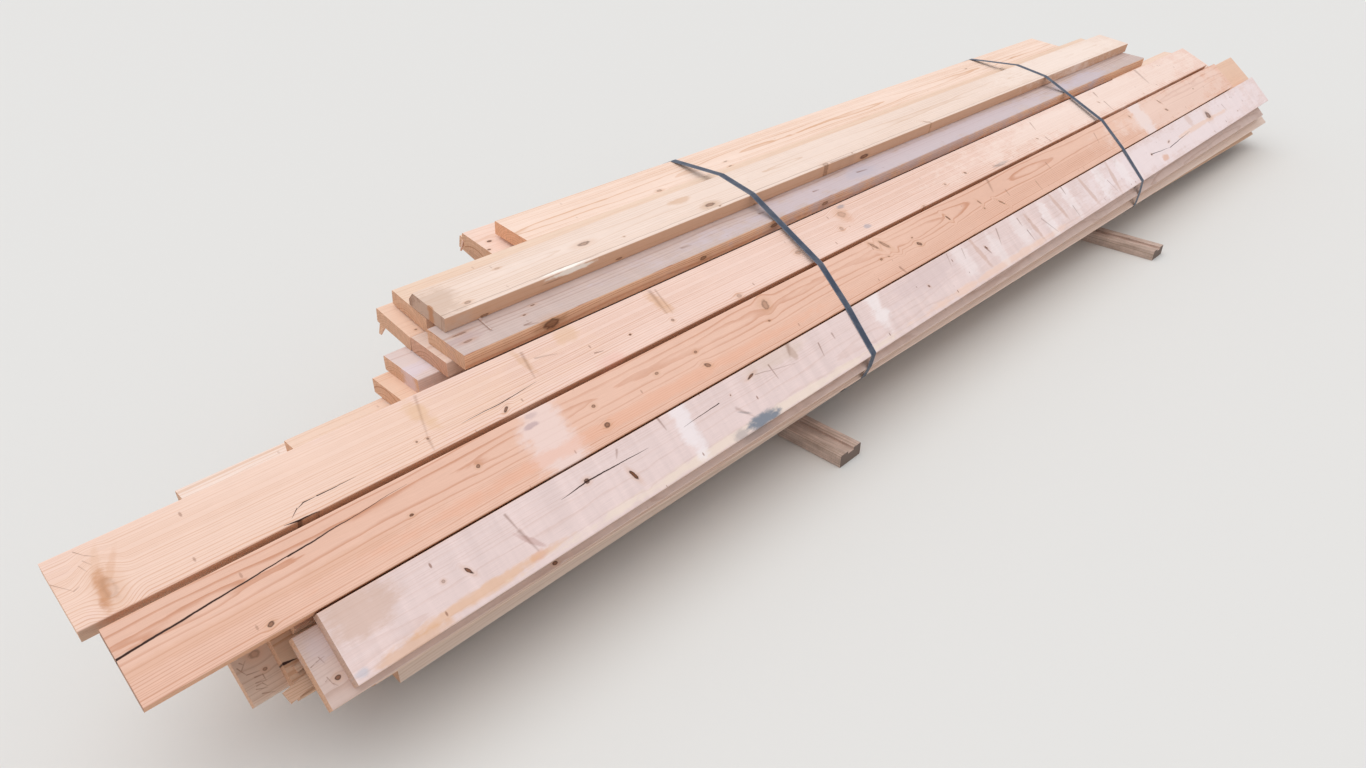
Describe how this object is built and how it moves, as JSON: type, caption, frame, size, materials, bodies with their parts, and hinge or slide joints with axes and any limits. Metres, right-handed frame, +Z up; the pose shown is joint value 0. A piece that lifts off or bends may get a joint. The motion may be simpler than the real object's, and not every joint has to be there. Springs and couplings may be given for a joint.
{
  "type": "bundle of pine studs",
  "caption": "Strapped bundle of long dressed pine boards, stepped and leaning on one side, with a taller stack of shorter boards, resting on grooved battens.",
  "frame": {"origin": "middle of the bundle's bounding box, on the ground under the battens", "axes": "+X along the boards towards their far ends, +Y towards the tall side, +Z up"},
  "size_m": [5.356, 1.16, 0.5553],
  "materials": {
    "pine": "dressed softwood, unfinished",
    "batten_wood": "rough sawn softwood, weathered",
    "lath_wood": "sawn softwood",
    "strap_steel": "dark blue-grey coated band, satin"
  },
  "bodies": {
    "root": {"batten_far": "batten_wood", "batten_near": "batten_wood", "course_1": "pine", "course_2": "pine", "course_3": "pine", "course_4": "pine", "course_5": "pine", "course_6": "pine", "course_7": "pine", "course_8": "pine", "fourth_board_left": "pine", "fourth_board_middle": "pine", "fourth_board_right": "pine", "lath_offcuts": "lath_wood", "second_board_left": "pine", "second_board_middle": "pine", "second_board_right": "pine", "shoulder_board_1": "pine", "shoulder_board_2": "pine", "shoulder_board_3": "pine", "shoulder_board_4": "pine", "side_board_1": "pine", "side_board_2": "pine", "side_board_3": "pine", "side_board_4": "pine", "side_board_5": "pine", "slope_board_1": "pine", "slope_board_2": "pine", "slope_board_3": "pine", "strap_far": "strap_steel", "strap_near": "strap_steel", "third_board_left": "pine", "third_board_middle": "pine", "third_board_right": "pine", "top_board": "pine", "upper_board_left": "pine", "upper_board_middle": "pine", "upper_board_right": "pine"}
  },
  "joints": []
}
